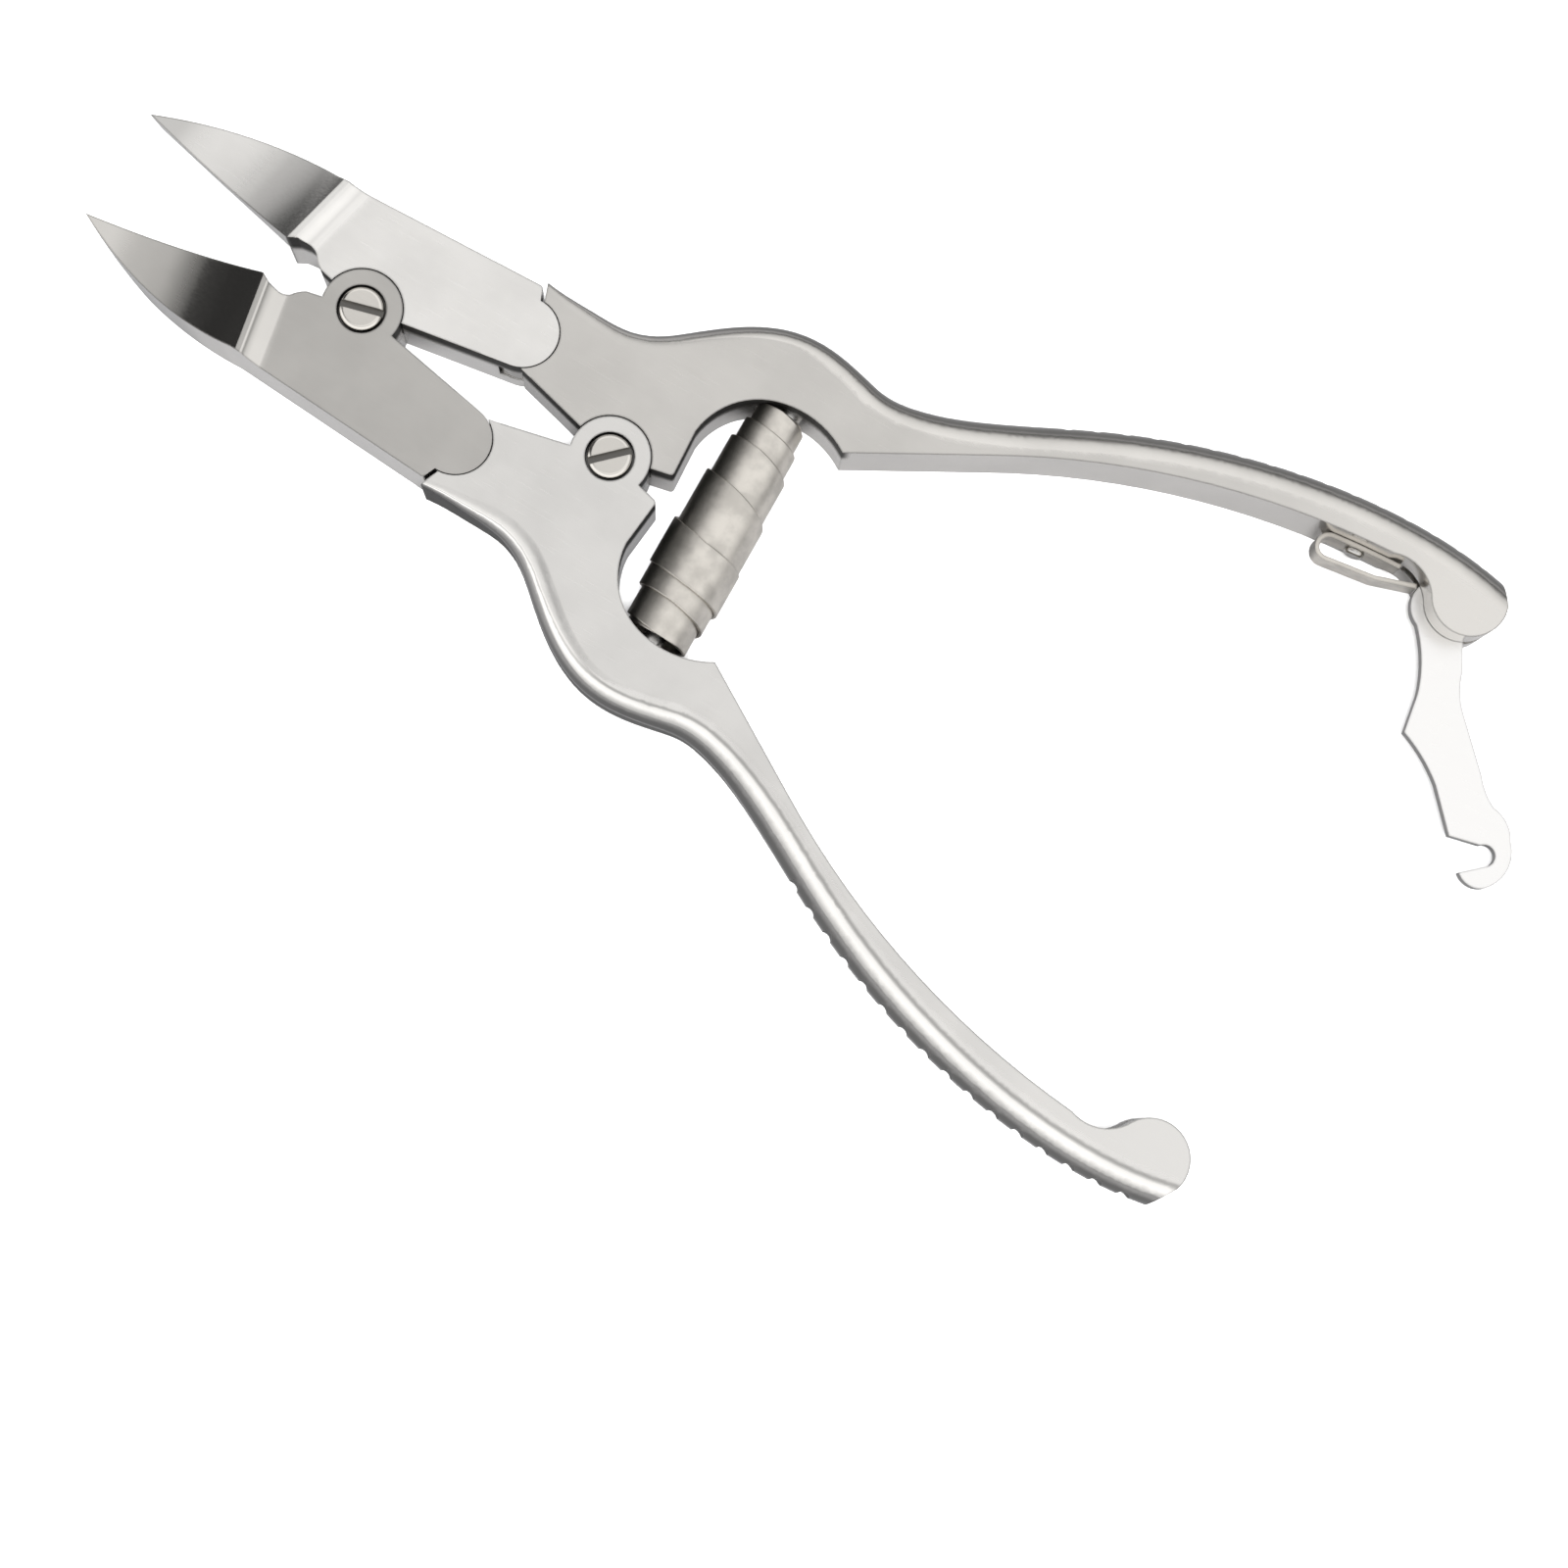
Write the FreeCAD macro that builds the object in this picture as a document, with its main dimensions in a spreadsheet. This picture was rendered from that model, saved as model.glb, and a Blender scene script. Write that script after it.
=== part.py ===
import FreeCAD, Part
import math
import os

# Double-action nail nipper: two jaws and two handles joined as a four-bar linkage, held open by
# a barrel spring, with a hooked lever at the handle ends that locks the tool shut.
#
# Frame: millimetres, +Z up out of the flat top face, +X along the centre line from the jaws to
# the handle ends, origin under the handle pivot on the flat underside. The upper jaw and the
# upper handle lie on the +Y side. Each jaw and handle is drawn in the closed pose, about its own
# pivot, and its Placement turns it to the open pose.

DIMENSIONS = [
    ("thickness", 8.0, "height of the flat forged stock"),
    ("lap_gap", 0.1, "gap between the two halves of a lap joint"),
    ("boss_radius", 4.45, "round boss at each main pivot"),
    ("boss_gap", 0.12, "gap around a boss or a tail end"),
    ("jaw_arm", 17.6, "jaw pivot to link pin"),
    ("handle_arm", 16.7, "handle pivot to link pin"),
    ("jaw_arm_open", 23.2, "angle of the jaw arm when open, in degrees"),
    ("jaw_opening", 11.85, "turn of one jaw from closed to open, in degrees"),
    ("tail_radius", 3.95, "round tail end of a jaw"),
    ("tongue_radius", 3.85, "round tongue end of a handle"),
    ("tongue_height", 2.8, "thickness of the tongue between the jaw's cheeks"),
    ("tongue_gap", 0.1, "gap between the tongue and each cheek"),
    ("slot_radius", 4.2, "round bottom of the jaw's tongue slot"),
    ("edge_gap", 0.04, "distance of a closed cutting edge from the centre line"),
    ("blade_reach", 31.55, "jaw pivot to blade tip"),
    ("blade_heel", 11.05, "jaw pivot to the heel of the cutting edge"),
    ("ridge_height", 9.3, "top of the ridge behind the blade"),
    ("relief_height", 6.2, "height where the blade's inner face starts to fall away"),
    ("screw_radius", 1.7, "shank of a pivot screw"),
    ("running_gap", 0.05, "radial clearance of a running fit"),
    ("head_radius", 2.45, "head of a pivot screw"),
    ("sink_radius", 2.7, "counterbore around a screw head"),
    ("sink_depth", 1.0, "depth of the counterbore"),
    ("head_height", 1.45, "height of a screw head"),
    ("screw_slot", 0.8, "width of the screwdriver slot"),
    ("link_pin_radius", 1.5, "link pin"),
    ("pin_cover", 1.0, "metal left above a blind pin"),
    ("heel_round", 0.6, "rounding of the handle's outer side at its front end"),
    ("valley_round", 2.2, "the same at the hollow above the handle pivot"),
    ("waist_round", 2.7, "the same at the waist behind the spring"),
    ("grip_round", 3.85, "the same along the grip, nearly a half round"),
    ("seat_pin_radius", 1.3, "pin that holds one end of the spring"),
    ("seat_pin_grip", 3.6, "length of the seat pin inside the handle"),
    ("seat_pin_reach", 2.4, "length of the seat pin inside the spring"),
    ("seat_face_radius", 3.3, "flat spot face under the spring's end"),
    ("seat_face_gap", 0.1, "gap between the spring's end and its spot face"),
    ("spring_length", 28.4, "barrel spring, end to end"),
    ("spring_end_radius", 3.0, "barrel spring at its ends"),
    ("spring_mid_radius", 4.8, "barrel spring at its middle"),
    ("spring_wall", 0.9, "depth of the overlapping strip of the barrel spring"),
    ("spring_height", 4.8, "axis of the barrel spring above the underside"),
    ("lever_thickness", 1.2, "lock lever plate"),
    ("lever_gap", 0.15, "gap beside the lever in its slots"),
    ("lever_head_radius", 3.2, "round head of the lever about its pin"),
    ("lever_pin_radius", 1.1, "pivot pin of the lever"),
    ("hook_reach", 27.6, "lever pin to catch pin when locked"),
    ("lever_release", 26.6, "turn of the lever from locked to released, in degrees"),
    ("catch_pin_radius", 1.0, "pin that the hook catches"),
    ("hook_gap", 0.2, "gap between the hook and the catch pin"),
    ("leaf_width", 3.0, "width of the leaf spring strip"),
    ("leaf_thickness", 0.5, "thickness of the leaf spring strip"),
    ("rivet_radius", 0.7, "shank of the leaf spring's rivet"),
    ("rivet_head_radius", 1.15, "head of the leaf spring's rivet"),
    ("rivet_head_height", 0.6, "height of the rivet's head"),
    ("rivet_grip", 2.2, "length of the rivet inside the handle"),
    ("notch_radius", 0.8, "round cutter of the grip notches"),
    ("notch_depth", 0.45, "depth of a grip notch"),
    ("notch_pitch", 3.25, "distance between grip notches"),
    ("notch_count", 16, "grip notches on one handle"),
]

os.makedirs("parts", exist_ok=True)
doc = FreeCAD.newDocument("nail_nipper")
sheet = doc.addObject("Spreadsheet::Sheet", "Dimensions")
for row, (alias, value, meaning) in enumerate(DIMENSIONS, start=1):
    sheet.set("A%d" % row, str(value))
    sheet.setAlias("A%d" % row, alias)
    sheet.set("B%d" % row, meaning)
doc.recompute()


def dim(alias):
    """The value of one driving dimension."""
    return float(sheet.get(alias))


def polar(radius, degrees, centre=(0.0, 0.0)):
    """The point at a radius and an angle from a centre."""
    angle = math.radians(degrees)
    return centre[0] + radius * math.cos(angle), centre[1] + radius * math.sin(angle)


# Angles and places that follow from the driving dimensions.
JAW_ARM_CLOSED = dim("jaw_arm_open") + dim("jaw_opening")


def handle_arm_angle(jaw_arm_angle):
    """The handle arm's angle that meets a jaw arm at the link pin."""
    height = dim("jaw_arm") * math.sin(math.radians(jaw_arm_angle))
    return math.degrees(math.asin(height / dim("handle_arm")))


HANDLE_ARM_CLOSED = handle_arm_angle(JAW_ARM_CLOSED)
HANDLE_OPENING = HANDLE_ARM_CLOSED - handle_arm_angle(dim("jaw_arm_open"))
JAW_PIVOT_X = -(polar(dim("jaw_arm"), dim("jaw_arm_open"))[0]
                + polar(dim("handle_arm"), handle_arm_angle(dim("jaw_arm_open")))[0])
MID_HEIGHT = dim("thickness") / 2

JAW_LINK = polar(dim("jaw_arm"), JAW_ARM_CLOSED)
HANDLE_LINK = polar(dim("handle_arm"), 180 - HANDLE_ARM_CLOSED)

LOCK_PIVOT = (91.1, 13.7)
CATCH = (LOCK_PIVOT[0], dim("hook_reach") - LOCK_PIVOT[1])
CUT_MARGIN = 2.0

SPRING_X = 14.0
SEAT_Y = dim("spring_length") / 2 + dim("seat_face_gap")
RIVET_X = 80.5
LEAF_LOOP_X = 77.6
LEAF_END_X = 85.6
LEAF_LOOP_RADIUS = 1.6
LEAF_BEND = (83.2, 14.15)
LEAF_TIP = (87.9, 14.7)
LOCK_SLOT_START = 86.0
LOCK_SLOT_FLOOR = 17.8
CUT_REACH = 20.0
HEAD_ROUNDING = 0.55


def turned(point, degrees):
    """A plan point turned about the handle pivot."""
    angle = math.radians(degrees)
    return (point[0] * math.cos(angle) - point[1] * math.sin(angle),
            point[0] * math.sin(angle) + point[1] * math.cos(angle))


class Outline:
    """An outline drawn stretch by stretch, mirrored to one side of the centre line."""

    def __init__(self, start, side=1):
        self.side = side
        self.first = start
        self.last = start
        self.stretches = []

    def vector(self, point):
        return FreeCAD.Vector(point[0], self.side * point[1], 0)

    def line(self, point):
        self.stretches.append(Part.LineSegment(self.vector(self.last), self.vector(point)))
        self.last = point
        return self

    def arc(self, middle, point):
        ends = (self.vector(self.last), self.vector(middle), self.vector(point))
        self.stretches.append(Part.Arc(*ends))
        self.last = point
        return self

    def curve(self, points, start_slope, end_slope):
        """A smooth curve through the points, with the slopes in degrees at its two ends."""
        through = [self.vector(point) for point in [self.last] + points]
        spline = Part.BSplineCurve()
        spline.interpolate(Points=through, InitialTangent=self.vector(polar(1, start_slope)),
                           FinalTangent=self.vector(polar(1, end_slope)))
        self.stretches.append(spline)
        self.last = points[-1]
        return self

    def close(self):
        return self.line(self.first).stretches


def rectangle(low, high, side=1):
    """The outline of a rectangle from its low corner to its high corner."""
    outline = Outline(low, side)
    outline.line((high[0], low[1])).line(high).line((low[0], high[1]))
    return outline.close()


def origin_plane(body, role):
    """One of a body's own origin planes, found by its role."""
    return next(item for item in body.Origin.OriginFeatures if item.Role == role)


def new_body(label):
    """An empty body whose label names its sub-part."""
    body = doc.addObject("PartDesign::Body", label)
    body.Label = label
    return body


def sketch_on(body, role, name, stretches):
    """A sketch of the given stretches on one of the body's origin planes."""
    sketch = body.newObject("Sketcher::SketchObject", name)
    sketch.AttachmentSupport = [(origin_plane(body, role), "")]
    sketch.MapMode = "FlatFace"
    sketch.addGeometry(stretches, False)
    return sketch


def pad(body, sketch, length):
    """Pad a sketch upwards by a length given as an expression."""
    feature = body.newObject("PartDesign::Pad", sketch.Name + "_pad")
    feature.Profile = sketch
    feature.setExpression("Length", length)
    return feature


def pad_both_ways(body, sketch, length):
    """Pad a sketch half of the length to each side of its plane."""
    feature = pad(body, sketch, length)
    feature.Midplane = True
    return feature


def pocket_through(body, sketch, length):
    """Cut a sketch half of the length to each side of its plane."""
    feature = body.newObject("PartDesign::Pocket", sketch.Name + "_cut")
    feature.Profile = sketch
    feature.Midplane = True
    feature.setExpression("Length", length)
    return feature


def place_primitive(body, feature, base):
    """Attach a primitive to the body's XY plane, offset by three expressions or numbers."""
    feature.AttachmentSupport = [(origin_plane(body, "XY_Plane"), "")]
    feature.MapMode = "FlatFace"
    for axis, value in zip("xyz", base):
        feature.setExpression("AttachmentOffset.Base." + axis, str(value))
    return feature


def cylinder(body, kind, name, centre, radius, low, height):
    """An upright cylinder added to or cut from a body; sizes are expressions."""
    feature = body.newObject("PartDesign::%sCylinder" % kind, name)
    feature.setExpression("Radius", radius)
    feature.setExpression("Height", height)
    return place_primitive(body, feature, (centre[0], centre[1], low))


def box(body, kind, name, low, size):
    """An upright box added to or cut from a body; corner and sizes are expressions."""
    feature = body.newObject("PartDesign::%sBox" % kind, name)
    for key, value in zip(("Length", "Width", "Height"), size):
        feature.setExpression(key, str(value))
    return place_primitive(body, feature, low)


def place(item, x, y, z, degrees):
    """Move a finished sub-part to its place, turned about Z."""
    turn = FreeCAD.Rotation(FreeCAD.Vector(0, 0, 1), degrees)
    item.Placement = FreeCAD.Placement(FreeCAD.Vector(x, y, z), turn)


def lap_joint(body, side, centre=(0, 0)):
    """Round boss on this piece's half of a lap joint, and a recess for the other's boss.

    The lower pieces (side -1) hold the boss of the top half, with the screw head sunk in it.
    """
    half = "(Dimensions.thickness - Dimensions.lap_gap) / 2"
    top = "(Dimensions.thickness + Dimensions.lap_gap) / 2"
    recess = "Dimensions.boss_radius + Dimensions.boss_gap"
    reach = "Dimensions.ridge_height"
    if side < 0:
        cylinder(body, "Additive", "boss", centre, "Dimensions.boss_radius", top, half)
        cylinder(body, "Subtractive", "recess", centre, recess, -1, "1 + " + top)
        cylinder(body, "Subtractive", "sink", centre, "Dimensions.sink_radius",
                 "Dimensions.thickness - Dimensions.sink_depth", reach)
        bore = "Dimensions.screw_radius"
    else:
        cylinder(body, "Additive", "boss", centre, "Dimensions.boss_radius", 0, half)
        cylinder(body, "Subtractive", "recess", centre, recess, half, reach)
        bore = "Dimensions.screw_radius + Dimensions.running_gap"
    cylinder(body, "Subtractive", "bore", centre, bore, -1, "Dimensions.thickness + 2")


# ---- Jaws ----

def jaw_outline(side):
    """Plan of a closed jaw about its pivot, cutting edge on the centre line."""
    edge = dim("edge_gap")
    tail_low = JAW_ARM_CLOSED - math.degrees(math.asin(dim("tail_radius") / dim("jaw_arm"))) - 90
    tail = [polar(dim("tail_radius"), angle, JAW_LINK) for angle in (104, 20, tail_low)]
    outline = Outline((-dim("blade_reach"), edge), side)
    outline.arc((-23.5, 5.2), (-11.6, 8.87))
    outline.line((12.2, 15.2)).arc((12.6, 15.15), (12.75, 14.95))
    outline.line(tail[0]).arc(tail[1], tail[2])
    outline.line((0, 0.1)).line((-6.2, 0.15)).arc((-7.0, 0.5), (-7.7, 1.05))
    outline.arc((-8.4, 1.3), (-9.3, 1.15)).line((-10.1, 0.85)).line((-dim("blade_heel"), edge))
    return outline.close()


def jaw_top_profile():
    """Side view of what is cut away above a jaw: flat body, ridge, hollow blade."""
    top = dim("thickness")
    ridge = dim("ridge_height")
    outline = Outline((25, top))
    outline.line((-7.6, top)).arc((-9.2, top + 0.4), (-10.2, ridge - 0.1)).line((-10.4, ridge))
    outline.line((-10.95, ridge)).arc((-22, 7.2), (-32.5, 8.65))
    outline.line((-32.5, ridge + CUT_MARGIN)).line((25, ridge + CUT_MARGIN))
    return outline.close()


def jaw_under_profile():
    """Side view of what is cut away under the blade, up to the thin tip."""
    outline = Outline((-23.7, 0))
    outline.arc((-28.0, 3.9), (-32.3, 8.6)).line((-33.5, 8.6))
    outline.line((-33.5, -CUT_MARGIN)).line((-23.7, -CUT_MARGIN))
    return outline.close()


def jaw_relief_profile():
    """End view of what is cut away from the blade's inner face, below its land."""
    start = dim("relief_height")
    outline = Outline((-CUT_MARGIN, -1))
    outline.line((1.05, -1)).line((dim("edge_gap"), start)).line((-CUT_MARGIN, start))
    return outline.close()


def make_jaw(label, side):
    """A jaw: blade, ridge, body, lap joint at its pivot and forked tail."""
    body = new_body(label)
    pad(body, sketch_on(body, "XY_Plane", "plan", jaw_outline(side)), "Dimensions.ridge_height")
    across = "4 * Dimensions.jaw_arm"
    pocket_through(body, sketch_on(body, "XZ_Plane", "top_profile", jaw_top_profile()), across)
    pocket_through(body, sketch_on(body, "XZ_Plane", "under_profile", jaw_under_profile()), across)
    relief = sketch_on(body, "YZ_Plane", "relief", [])
    for stretch in jaw_relief_profile():
        if side < 0:
            stretch.mirror(FreeCAD.Vector(0, 0, 0), FreeCAD.Vector(1, 0, 0))
        relief.addGeometry(stretch, False)
    blade_length = "(Dimensions.blade_reach - Dimensions.blade_heel)"
    relief.setExpression("AttachmentOffset.Base.z",
                         "-(Dimensions.blade_reach + Dimensions.blade_heel) / 2")
    pocket_through(body, relief, blade_length)
    lap_joint(body, side)
    link = (JAW_LINK[0], side * JAW_LINK[1])
    slot = "(Dimensions.tongue_height + 2 * Dimensions.tongue_gap)"
    cylinder(body, "Subtractive", "tongue_slot", link, "Dimensions.slot_radius",
             "(Dimensions.thickness - %s) / 2" % slot, slot)
    cylinder(body, "Subtractive", "link_bore", link, "Dimensions.link_pin_radius",
             -1, "1 + Dimensions.thickness - Dimensions.pin_cover")
    place(body, JAW_PIVOT_X, 0, 0, -side * dim("jaw_opening"))
    return body


# ---- Handles ----

HEEL = (-12.5, 16.3)
VALLEY = (-1.9, 14.4)
WAIST = (30.0, 16.3)
ARCH = (52.0, 21.1)
SHOULDER = (96.7, 18.5)
GRIP_CREST = (61.0, 17.75)
GRIP_END = (84.0, 17.0)
GRIP_RISE = (38.97, 13.26)
GRIP_START = (23.7, 8.4)
POCKET_TOP = (16.1, 11.55)
POCKET_FOOT = (7.9, 5.6)
STOP_GAP = 0.12
NOTCH_START = 16.6


def outer_stretches(side):
    """The handle's outer side: front rise, hump over the spring, long arched back."""
    outline = Outline(HEEL, side)
    outline.curve([(-7.0, 15.0), VALLEY], -20, 5)
    outline.curve([(3.3, 16.25), (8.6, 18.85), (14.4, 20.2), (19.0, 19.6), (24.2, 17.45), WAIST], 5, 2)
    outline.curve([(37.3, 17.4), ARCH], 2, 12)
    outline.curve([(61.0, 22.55), (71.0, 23.1), (83.4, 22.2), SHOULDER], 12, -24)
    return outline


def handle_outline(side):
    """Plan of a closed handle about its pivot, with the round tongue at its front."""
    outline = outer_stretches(side)
    outline.line((97.6, 15.4)).arc((93.6, 10.65), (89.15, 14.0))
    outline.arc((87.5, 16.1), GRIP_END).arc(GRIP_CREST, GRIP_RISE).line(GRIP_START)
    outline.arc((20.2, 10.75), POCKET_TOP).arc((10.55, 9.6), POCKET_FOOT)
    outline.line((7.2, 0.6)).arc((7.05, 0.25), (6.7, STOP_GAP)).line((0, STOP_GAP))
    outline.line((-12.1, 6.1))
    tongue = [polar(dim("tongue_radius"), angle, HANDLE_LINK) for angle in (-75, 180, 72)]
    outline.line(tongue[0]).arc(tongue[1], tongue[2])
    return outline.close()


def grip_wall(x):
    """The point of the upper grip's inner wall at x, and the direction away from the metal."""
    ends = [FreeCAD.Vector(p[0], p[1], 0) for p in (GRIP_RISE, GRIP_CREST, GRIP_END)]
    circle = Part.Arc(*ends).toShape().Curve
    across = x - circle.Center.x
    height = math.sqrt(circle.Radius ** 2 - across ** 2)
    return (x, circle.Center.y + height), (-across / circle.Radius, -height / circle.Radius)


def off_wall(x, distance):
    """The point at a distance from the upper grip's inner wall, square to it at x."""
    wall, inward = grip_wall(x)
    return wall[0] + inward[0] * distance, wall[1] + inward[1] * distance


def edge_at(shape, start, height):
    """Number of the edge that starts or ends at a plan point, at one height, along the outer side."""
    for number, edge in enumerate(shape.Edges, start=1):
        level = all(abs(vertex.Z - height) < 1e-6 for vertex in edge.Vertexes)
        first = edge.Vertexes[0]
        if level and edge.Curve.TypeId == "Part::GeomBSplineCurve" and start.distanceToPoint(
                FreeCAD.Vector(first.X, first.Y, 0)) < 1e-3:
            return number
    raise SystemExit("no edge starts at %s" % start)


def round_outer_side(blank, label, side):
    """Round the outer side, from a crisp heel to a full half-round grip."""
    doc.recompute()
    rounding = [(HEEL, "heel_round", "valley_round"), (VALLEY, "valley_round", "waist_round"),
                (WAIST, "waist_round", "grip_round"), (ARCH, "grip_round", "grip_round")]
    edges = []
    for start, first, last in rounding:
        point = FreeCAD.Vector(start[0], side * start[1], 0)
        for height in (0.0, dim("thickness")):
            edges.append((edge_at(blank.Shape, point, height), dim(first), dim(last)))
    rounded = doc.addObject("Part::Fillet", label)
    rounded.Base = blank
    rounded.Edges = edges
    return rounded


def notch_circles(side):
    """Round cutters of the grip notches, spaced evenly along the outer side."""
    front, back = [stretch.toShape() for stretch in outer_stretches(side).stretches[-2:]]
    circles = []
    offset = dim("notch_radius") - dim("notch_depth")
    for number in range(int(dim("notch_count"))):
        reach = NOTCH_START + number * dim("notch_pitch")
        curve = front if reach < front.Length else back
        along = curve.getParameterByLength(reach - (0 if curve is front else front.Length))
        tangent = curve.tangentAt(along)
        outward = FreeCAD.Vector(-side * tangent.y, side * tangent.x, 0)
        centre = curve.valueAt(along) + outward * offset
        circles.append(Part.Circle(centre, FreeCAD.Vector(0, 0, 1), dim("notch_radius")))
    return circles


def make_handle(label, side):
    """A handle: tongue, lap joint, spring pocket, rounded grip with notches, slotted end."""
    blank = new_body(label + "_blank")
    pad(blank, sketch_on(blank, "XY_Plane", "plan", handle_outline(side)), "Dimensions.thickness")
    rounded = round_outer_side(blank, label + "_rounded", side)
    doc.recompute()
    body = new_body(label)
    body.BaseFeature = rounded
    pocket_through(body, sketch_on(body, "XY_Plane", "grip_notches", notch_circles(side)),
                   "4 * Dimensions.thickness")
    lap_joint(body, side)
    link = (HANDLE_LINK[0], side * HANDLE_LINK[1])
    cheek = "(Dimensions.thickness - Dimensions.tongue_height) / 2"
    recess = "Dimensions.tail_radius + Dimensions.boss_gap"
    cylinder(body, "Subtractive", "under_cheek_recess", link, recess, -1, "1 + " + cheek)
    cylinder(body, "Subtractive", "top_cheek_recess", link, recess,
             "Dimensions.thickness - " + cheek, "1 + " + cheek)
    cylinder(body, "Subtractive", "link_bore", link,
             "Dimensions.link_pin_radius + Dimensions.running_gap", -1, "Dimensions.thickness + 2")
    lever_slot(body, side)
    pivot = LOCK_PIVOT if side > 0 else (CATCH[0], -CATCH[1])
    radius = "Dimensions.lever_pin_radius" if side > 0 else "Dimensions.catch_pin_radius"
    cylinder(body, "Subtractive", "end_pin_bore", pivot, radius, -1,
             "1 + Dimensions.thickness - Dimensions.pin_cover")
    seat_bore(body, side)
    if side > 0:
        rivet_bore(body)
    place(body, 0, 0, 0, side * HANDLE_OPENING)
    return body


def lever_slot(body, side):
    """Slot in the middle of the handle's end lobe, for the lock lever or its hook."""
    low = (LOCK_SLOT_START, 0) if side > 0 else (LOCK_SLOT_START, -LOCK_SLOT_FLOOR)
    size = (CUT_REACH, LOCK_SLOT_FLOOR,
            "Dimensions.lever_thickness + 2 * Dimensions.lever_gap")
    base = "(Dimensions.thickness - Dimensions.lever_thickness) / 2 - Dimensions.lever_gap"
    box(body, "Subtractive", "lever_slot", (low[0], low[1], base), size)


def level_bore(body, name, point, direction, radius, length):
    """A blind bore from a point (x, y, z), level and along a plan direction."""
    feature = body.newObject("PartDesign::SubtractiveCylinder", name)
    feature.setExpression("Radius", radius)
    feature.setExpression("Height", length)
    feature.AttachmentSupport = [(origin_plane(body, "XY_Plane"), "")]
    feature.MapMode = "FlatFace"
    turn = FreeCAD.Rotation(FreeCAD.Vector(0, 0, 1), FreeCAD.Vector(*direction, 0))
    feature.AttachmentOffset = FreeCAD.Placement(FreeCAD.Vector(*point), turn)


def seat_bore(body, side):
    """Bore for the seat pin and a flat spot face for the spring's end, square to the open spring."""
    into = polar(1, side * (90 - HANDLE_OPENING))
    seat = (*turned((SPRING_X, side * SEAT_Y), -side * HANDLE_OPENING), dim("spring_height"))
    level_bore(body, "seat_bore", seat, into, "Dimensions.seat_pin_radius",
               "Dimensions.seat_pin_grip")
    level_bore(body, "seat_face", seat, (-into[0], -into[1]), "Dimensions.seat_face_radius",
               "Dimensions.seat_pin_reach")


def rivet_bore(body):
    """Bore in the grip's inner wall for the leaf spring's rivet."""
    mouth = (*off_wall(RIVET_X, dim("leaf_thickness")), MID_HEIGHT)
    inward = grip_wall(RIVET_X)[1]
    level_bore(body, "rivet_bore", mouth, (-inward[0], -inward[1]), "Dimensions.rivet_radius",
               "Dimensions.rivet_grip + Dimensions.leaf_thickness")


make_jaw("upper_jaw", 1)
make_jaw("lower_jaw", -1)
make_handle("upper_handle", 1)
make_handle("lower_handle", -1)


# ---- Screws, pins and rivet ----

def round_rim(body, name, height, radius, rounding):
    """Round the circular edge of the given radius at the given height."""
    doc.recompute()
    solid = body.Tip
    for number, edge in enumerate(solid.Shape.Edges, start=1):
        if edge.Curve.TypeId != "Part::GeomCircle":
            continue
        if abs(edge.Curve.Radius - radius) < 1e-6 and abs(edge.Curve.Center.z - height) < 1e-6:
            rim = body.newObject("PartDesign::Fillet", name)
            rim.Base = (solid, ["Edge%d" % number])
            rim.Radius = rounding
            return rim
    raise SystemExit("no rim of radius %s at %s" % (radius, height))


def make_screw(label, x, slot_angle):
    """A pivot screw: plain shank flush with the underside, domed slotted head."""
    body = new_body(label)
    seat = "Dimensions.thickness - Dimensions.sink_depth"
    cylinder(body, "Additive", "shank", (0, 0), "Dimensions.screw_radius", 0, seat)
    cylinder(body, "Additive", "head", (0, 0), "Dimensions.head_radius", seat, "Dimensions.head_height")
    top = dim("thickness") - dim("sink_depth") + dim("head_height")
    round_rim(body, "dome", top, dim("head_radius"), HEAD_ROUNDING)
    half = "Dimensions.head_radius + 1"
    box(body, "Subtractive", "driver_slot",
        ("-(%s)" % half, "-Dimensions.screw_slot / 2", "%s + Dimensions.head_height - 0.6" % seat),
        ("2 * (%s)" % half, "Dimensions.screw_slot", "1"))
    place(body, x, 0, 0, slot_angle)


def make_upright_pin(label, point, radius):
    """A plain pin pressed in from the underside, flush with it."""
    pin = doc.addObject("Part::Cylinder", label)
    pin.Label = label
    pin.setExpression("Radius", "Dimensions." + radius)
    pin.setExpression("Height", "Dimensions.thickness - Dimensions.pin_cover")
    place(pin, point[0], point[1], 0, 0)


def place_along(item, point, height, direction):
    """Place a sub-part so that its own Z axis lies level along a plan direction."""
    turn = FreeCAD.Rotation(FreeCAD.Vector(0, 0, 1), FreeCAD.Vector(*direction, 0))
    item.Placement = FreeCAD.Placement(FreeCAD.Vector(point[0], point[1], height), turn)


def make_seat_pin(label, side):
    """A seat pin: pressed into the handle, its rounded end standing in the spring's mouth."""
    body = new_body(label)
    length = "Dimensions.seat_pin_grip + Dimensions.seat_pin_reach"
    cylinder(body, "Additive", "pin", (0, 0), "Dimensions.seat_pin_radius", 0, length)
    round_rim(body, "nose", dim("seat_pin_grip") + dim("seat_pin_reach"), dim("seat_pin_radius"), 0.5)
    deep = (SPRING_X, side * (SEAT_Y + dim("seat_pin_grip")))
    place_along(body, deep, dim("spring_height"), (0, -side))


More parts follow.
